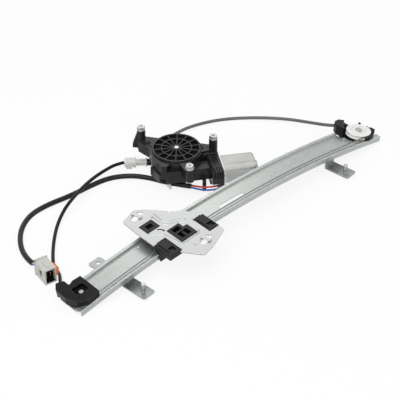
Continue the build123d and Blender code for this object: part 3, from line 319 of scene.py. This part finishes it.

# Ground and stamped steel: the plate between brush housing and can, the output shaft, the armature's shaft
# with its worm, and the stack of laminations.
# Their edges carry a painted highlight.
ground_steel = finish("ground_steel", (0.42, 0.42, 0.42), (0.6, 0.6, 0.6), metal=1.0, smooth=0.2, rough=0.35,
                      patch=200, grain=1500, bump=0.05, edge=(0.85, 0.85, 0.85))
dress(ground_steel, "end_plate", "output_shaft", "armature_shaft", "armature_core")

# Inside the motor and wheel: rubber damper, copper windings and commutator, ferrite magnets, carbon brushes
# and sintered bronze bearings. The connector's blades share the bearings' yellow metal.
damper_rubber = finish("damper_rubber", (0.02, 0.02, 0.02), (0.035, 0.035, 0.035), smooth=0.6, rough=0.8,
                       bump=0.1)
dress(damper_rubber, "damper")
winding_copper = finish("winding_copper", (0.55, 0.26, 0.14), (0.72, 0.38, 0.22), metal=1.0, smooth=0.25,
                        rough=0.4, patch=900, grain=2500, bump=0.2)
dress(winding_copper, "armature_windings", "commutator")
ferrite = finish("ferrite", (0.06, 0.06, 0.06), (0.1, 0.1, 0.1), smooth=0.6, rough=0.75, patch=300,
                 bump=0.15)
dress(ferrite, "magnets", "brushes")
bearing_bronze = finish("bearing_bronze", (0.50, 0.36, 0.16), (0.66, 0.50, 0.26), metal=1.0, smooth=0.3,
                        rough=0.45, patch=500, grain=2500)
dress(bearing_bronze, "bearings", "terminals")

# Upper conduit: a slate grey plastic cover on a steel coil, free between its two ends. It runs from the
# drum housing over the floor and up into the pulley bracket's tower.
conduit_diameter = 0.005


def tube(name, route, diameter, material, node):
    """A round tube on a smooth line, in place of its CAD solid."""
    curve = bpy.data.curves.new(name, "CURVE")
    curve.dimensions = "3D"
    curve.bevel_depth = diameter / 2
    curve.bevel_resolution = 6
    curve.resolution_u = 16
    curve.use_fill_caps = True
    line = curve.splines.new("NURBS")
    line.points.add(len(route) - 1)
    for point, place in zip(line.points, route):
        point.co = (*place, 1)
    line.order_u = 3
    line.use_endpoint_u = True
    curve.materials.append(material)
    piece = bpy.data.objects.new(name, curve)
    scene.collection.objects.link(piece)
    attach(piece, "frame")
    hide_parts(node)
    return piece


conduit_grey = finish("conduit_grey", (0.085, 0.092, 0.098), (0.120, 0.128, 0.134), smooth=0.22, rough=0.34,
                      patch=200, grain=1500, bump=0.08)
upper_route = [(0.01901, 0.10776, 0.0116), (0.0387, 0.1311, 0.0095), (0.0682, 0.1381, 0.006),
               (0.1032, 0.1406, 0.0036), (0.1492, 0.1256, 0.003), (0.1892, 0.0966, 0.003),
               (0.2252, 0.0576, 0.004), (0.2415, 0.0193, 0.008), (0.24848, -0.01857, 0.01759),
               (0.25556, -0.03189, 0.02191)]
upper_conduit = tube("upper_conduit_sheath", upper_route, conduit_diameter, conduit_grey, "upper_conduit")

# Lower conduit: the same tube in glossy black, from the cable adjuster over the harness and down into the
# lower guide, where its end is pushed into a socket.
conduit_black = finish("conduit_black", (0.006, 0.006, 0.006), (0.012, 0.012, 0.012), smooth=0.16,
                       rough=0.26, patch=200, grain=1500, bump=0.05, level=0.15)
lower_route = [(-0.03554, 0.13066, 0.0084), (-0.0478, 0.1349, 0.0088), (-0.0678, 0.1324, 0.0105),
               (-0.0898, 0.1276, 0.0128), (-0.1128, 0.1214, 0.0136), (-0.1388, 0.1126, 0.0126),
               (-0.1668, 0.1021, 0.0088), (-0.1948, 0.0836, 0.0052), (-0.2198, 0.0591, 0.0034),
               (-0.2408, 0.0336, 0.0029), (-0.2518, 0.0166, 0.003), (-0.2548, 0.0006, 0.0042),
               (-0.26501, -0.0151, 0.00956), (-0.27362, -0.0274, 0.01415)]
lower_conduit = tube("lower_conduit_sheath", lower_route, conduit_diameter, conduit_black, "lower_conduit")

# Cable adjuster: sleeve, collar and clip in natural nylon, slightly see-through and yellowish. The ribbed
# end sits on the conduit, and the collar's spring takes up the cable's slack.
# Its edges carry a painted highlight.
natural_nylon = finish("natural_nylon", (0.66, 0.66, 0.62), (0.78, 0.78, 0.745), smooth=0.24, rough=0.38,
                       patch=140, grain=2000, bump=0.06, edge=(0.80, 0.80, 0.78))
shader = natural_nylon.node_tree.nodes["Principled BSDF"]
shader.inputs["Subsurface Weight"].default_value = 0.25
shader.inputs["Subsurface Scale"].default_value = 0.002
dress(natural_nylon, "adjuster_sleeve", "adjuster_collar", "adjuster_clip")

# Harness tubing: soft black vinyl round the motor's wires, lying on the floor from under the plug to the
# connector.
harness_diameter = 0.0075
sleeve_vinyl = finish("sleeve_vinyl", (0.009, 0.009, 0.009), (0.017, 0.017, 0.017), smooth=0.18, rough=0.28,
                      patch=160, grain=1300, bump=0.08, level=0.20)
sleeve_route = [(-0.0028, 0.0206, 0.009), (-0.0118, 0.0386, 0.007), (-0.0203, 0.0596, 0.0046),
                (-0.0288, 0.0816, 0.004), (-0.0448, 0.1041, 0.004), (-0.0708, 0.1206, 0.004),
                (-0.1018, 0.1241, 0.004), (-0.1388, 0.1246, 0.004), (-0.1758, 0.1301, 0.004),
                (-0.2078, 0.1281, 0.004), (-0.2358, 0.1116, 0.004), (-0.2568, 0.0856, 0.004),
                (-0.2683, 0.0576, 0.0045), (-0.2698, 0.0396, 0.0065)]
harness = tube("harness_tubing", sleeve_route, harness_diameter, sleeve_vinyl, "harness_sleeve")

# Cable tie: white nylon, pulled tight round the tubing. Its ratchet head sits at the band's outer side, with
# the short cut end of the strap standing up beside it. Both are given in millimetres, in the tie's own axes.
tie_low, tie_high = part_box("cable_tie")
tie_place = ((tie_low[0] + tie_high[0]) / 2, (tie_low[1] + tie_high[1]) / 2, 0.0)
tie_turn = math.radians(138.7)
tie_head = ((-2.2, 2.2), (3.9, 8.6), (1.6, 6.0))
tie_end = ((-1.3, 1.3), (6.6, 7.8), (5.0, 10.5))
moulded_rounding = 0.0003
millimetres_per_metre = 1000


def moulded(name, blocks, material, place, turn):
    """A moulding of rounded blocks, given in millimetres in its own axes and set down at its place."""
    shape = bmesh.new()
    for (x0, x1), (y0, y1), (z0, z1) in blocks:
        for corner in bmesh.ops.create_cube(shape, size=1.0)["verts"]:
            corner.co = Vector((x0 if corner.co.x < 0 else x1, y0 if corner.co.y < 0 else y1,
                                z0 if corner.co.z < 0 else z1)) / millimetres_per_metre
    shape.transform(Matrix.Translation(place) @ Matrix.Rotation(turn, 4, "Z"))
    mesh = bpy.data.meshes.new(name)
    shape.to_mesh(mesh)
    shape.free()
    mesh.materials.append(material)
    piece = bpy.data.objects.new(name, mesh)
    scene.collection.objects.link(piece)
    rounding = piece.modifiers.new("rounding", "BEVEL")
    rounding.width = moulded_rounding
    rounding.segments = 2
    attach(piece, "frame")
    return piece


tie_nylon = finish("tie_nylon", (0.76, 0.76, 0.74), (0.86, 0.86, 0.84), smooth=0.3, rough=0.42, patch=200,
                   bump=0.06)
dress(tie_nylon, "cable_tie")
tie_tail = moulded("cable_tie_tail", [tie_head, tie_end], tie_nylon, tie_place, tie_turn)

# Wires of the plug: copper in thin coloured vinyl, one red and one blue, crimped in the plug and led down
# into the tubing.
wire_diameter = 0.0027
red_vinyl = finish("red_vinyl", (0.55, 0.02, 0.02), (0.70, 0.04, 0.04), smooth=0.3, rough=0.42, bump=0.04)
red_route = [(0.02374, -0.00825, 0.0125), (0.01620, -0.00372, 0.0120), (0.00866, 0.00315, 0.0110),
             (0.00224, 0.01284, 0.0103), (-0.0020, 0.0206, 0.0103)]
red_wire = tube("red_wire_vinyl", red_route, wire_diameter, red_vinyl, "red_wire")
blue_vinyl = finish("blue_vinyl", (0.02, 0.07, 0.35), (0.04, 0.12, 0.50), smooth=0.3, rough=0.42, bump=0.04)
blue_route = [(0.02246, -0.01039, 0.0090), (0.01519, -0.00638, 0.0086), (0.00711, 0.00057, 0.0080),
              (0.00095, 0.0107, 0.0076), (-0.0032, 0.0190, 0.0080)]
blue_wire = tube("blue_wire_vinyl", blue_route, wire_diameter, blue_vinyl, "blue_wire")

# Wires of the connector: the same wire in blue, white and red, side by side from the tubing's end into the
# connector. They are one CAD node, so its vinyl changes colour from wire to wire, across their lean.
wire_lean = 0.12
white_half_width = 0.0013
wires_x, wires_y, _ = sleeve_route[-1]
middle_wire = wires_x + wire_lean * wires_y
connector_vinyl = finish("connector_vinyl", (0.7, 0.7, 0.7), (0.8, 0.8, 0.8), smooth=0.3, rough=0.42,
                         bump=0.04)
tree = connector_vinyl.node_tree
axes = new_node(tree, "SeparateXYZ", {0: new_node(tree, "TexCoord").outputs["Object"]}).outputs
across = worked_out(tree, "MULTIPLY_ADD", axes["Y"], wire_lean, axes["X"])


def dyed(tree, dark, light):
    """A vinyl's colour, between two tones by the grain of its surface."""
    return blended(tree, "RGBA", tree.nodes["surface"].outputs["Height"], (*dark, 1), (*light, 1))


colour = dyed(tree, (0.02, 0.10, 0.42), (0.03, 0.14, 0.55))
for start, dark, light in [(middle_wire - white_half_width, (0.62, 0.62, 0.62), (0.75, 0.75, 0.75)),
                           (middle_wire + white_half_width, (0.50, 0.02, 0.02), (0.66, 0.04, 0.04))]:
    colour = blended(tree, "RGBA", worked_out(tree, "GREATER_THAN", across, start), colour,
                     dyed(tree, dark, light))
tree.links.new(colour, tree.nodes["Principled BSDF"].inputs["Base Color"])
dress(connector_vinyl, "plug_wires")

# Connector: a pale grey nylon socket that takes the door loom's plug. Its contact carrier is black, so the
# moulding is dark inside the first two boxes; the third, at the side window, is painted shade for the
# opening's dark inside. Each box is given by its centre and half its size, in metres in the connector's own
# axes.
connector_place = (-0.2698, 0.0086, 0.0)
connector_turn = math.radians(-98)
contact_carrier = ((0.0008, 0.0, 0.012), (0.0058, 0.0069, 0.0102))
mouth_floor = ((0.005, 0.0, 0.0015), (0.0072, 0.0067, 0.0012))
side_window = ((-0.0005, -0.0077, 0.0122), (0.0032, 0.0006, 0.0042))
carrier_black_and_painted_shade = (0.012, 0.012, 0.012, 1)
# Its edges carry a painted highlight.
grey_nylon = finish("grey_nylon", (0.48, 0.485, 0.455), (0.57, 0.575, 0.545), smooth=0.32, rough=0.45,
                    patch=100, grain=2200, bump=0.08, edge=(0.66, 0.66, 0.63))
tree = grey_nylon.node_tree
local = new_node(tree, "Mapping", {"Vector": new_node(tree, "TexCoord").outputs["Object"],
                                   "Location": connector_place, "Rotation": (0, 0, connector_turn)},
                 vector_type="TEXTURE")
axes = new_node(tree, "SeparateXYZ", {0: local.outputs["Vector"]}).outputs
shader = tree.nodes["Principled BSDF"]
colour = shader.inputs["Base Color"].links[0].from_socket
for centre, half_size in (contact_carrier, mouth_floor, side_window):
    inside = 1.0
    for axis, middle, reach in zip("XYZ", centre, half_size):
        inside = worked_out(tree, "MULTIPLY", inside, worked_out(tree, "COMPARE", axes[axis], middle, reach))
    colour = blended(tree, "RGBA", inside, colour, carrier_black_and_painted_shade)
tree.links.new(colour, shader.inputs["Base Color"])
dress(grey_nylon, "connector_body")

# Connector lock: an orange nylon slider with finger ridges, pushed in from the connector's far side once
# its contacts are home. Its blocks are in millimetres, in the connector's axes.
# Its edges carry a painted highlight.
orange_nylon = finish("orange_nylon", (0.70, 0.13, 0.015), (0.82, 0.18, 0.025), smooth=0.3, rough=0.42,
                      bump=0.06, edge=(0.95, 0.35, 0.12))
lock_slab = ((-1.0, 12.4), (8.6, 11.2), (9.5, 21.5))
lock_lip = ((11.0, 13.2), (8.6, 12.4), (12.0, 19.0))
ridge_width = 1.6
lock_ridges = [((x, x + ridge_width), (10.8, 13.2), (10.5, 20.5)) for x in (0.2, 3.4, 6.6, 9.8)]
lock = moulded("lock_slider", [lock_slab, *lock_ridges, lock_lip], orange_nylon, connector_place,
               connector_turn)
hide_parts("connector_lock")

# Connector rim and rib: a flange round the top and sides of the wires' end and a short rib on the top, both
# moulded in one with the body. They are in millimetres, in the connector's axes.
rim_x, rim_z, post_z = (-14.4, -12.6), (22.1, 24.9), (0.4, 24.9)
rim_blocks = [(rim_x, (-9.4, 9.4), rim_z), (rim_x, (-9.4, -7.6), post_z), (rim_x, (7.6, 9.4), post_z)]
top_rib = ((-5.0, 8.0), (-2.2, 2.2), (23.9, 25.0))
rim = moulded("connector_rim", [*rim_blocks, top_rib], grey_nylon, connector_place, connector_turn)

# Harness pieces: the tubing's tie, its wires and the connector, gathered in a list. The tubing's route is
# the one that the photograph shows, from under the plug to the connector.
harness_pieces = [tie_tail, lock, rim, red_wire, blue_wire]
harness_pieces += [nodes[name] for name in ("plug_wires", "cable_tie", "connector_body", "terminals")]
